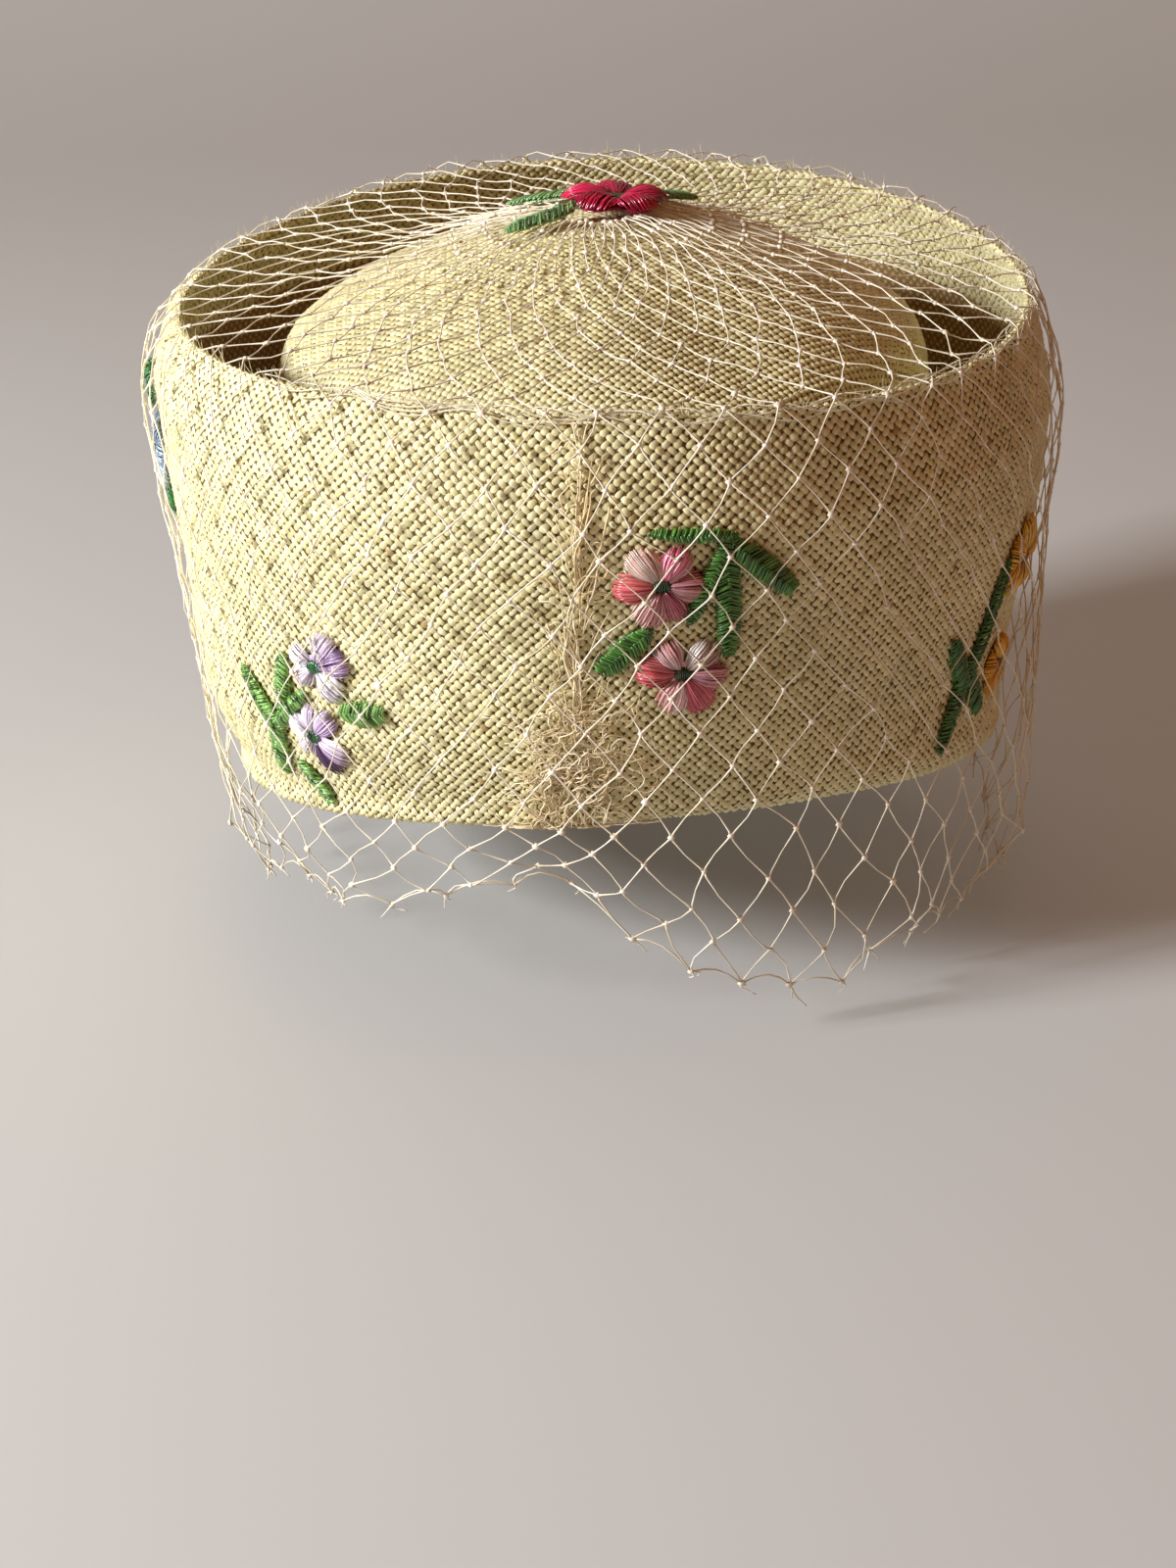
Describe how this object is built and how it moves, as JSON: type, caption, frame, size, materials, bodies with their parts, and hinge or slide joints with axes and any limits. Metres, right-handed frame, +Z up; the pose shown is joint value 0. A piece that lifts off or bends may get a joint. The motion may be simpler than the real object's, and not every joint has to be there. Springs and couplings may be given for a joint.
{
  "type": "pillbox hat with net veil",
  "caption": "Woven straw pillbox hat with a domed tip inside a deep turned-up brim, a net veil gathered under a flower, and embroidered flower trims round the side.",
  "frame": {"origin": "middle of the head opening, at the level of the lowest straw edge, where a head holds the hat", "axes": "+Z up through the tip; the side with the veil's seam faces -Y; +X is to that side's right"},
  "size_m": [0.2148, 0.2256, 0.1571],
  "materials": {
    "straw": "woven straw, satin",
    "net": "knotted cotton net, matt",
    "frayed_thread": "loose frayed thread, matt",
    "pink_thread": "satin stitch, silky",
    "lilac_thread": "satin stitch, silky",
    "yellow_thread": "satin stitch, silky",
    "blue_thread": "satin stitch, silky",
    "crimson_thread": "satin stitch, silky",
    "green_thread": "chain stitch, silky"
  },
  "bodies": {
    "root": {"brim": "straw", "crown": "straw", "veil": "net", "veil_seam": "frayed_thread", "pink_flower_upper": "pink_thread", "pink_flower_lower": "pink_thread", "pink_leaf_spray": "green_thread", "pink_leaf_low": "green_thread", "lilac_flower_upper": "lilac_thread", "lilac_flower_lower": "lilac_thread", "lilac_leaf_spray": "green_thread", "lilac_leaf_right": "green_thread", "lilac_leaf_low": "green_thread", "yellow_flower_upper": "yellow_thread", "yellow_flower_lower": "yellow_thread", "yellow_leaf_spray": "green_thread", "blue_flower": "blue_thread", "blue_leaf_high": "green_thread", "blue_leaf_low": "green_thread", "rosette_flower": "crimson_thread", "rosette_leaf_front": "green_thread", "rosette_leaf_back": "green_thread", "rosette_leaf_right": "green_thread"}
  },
  "joints": []
}
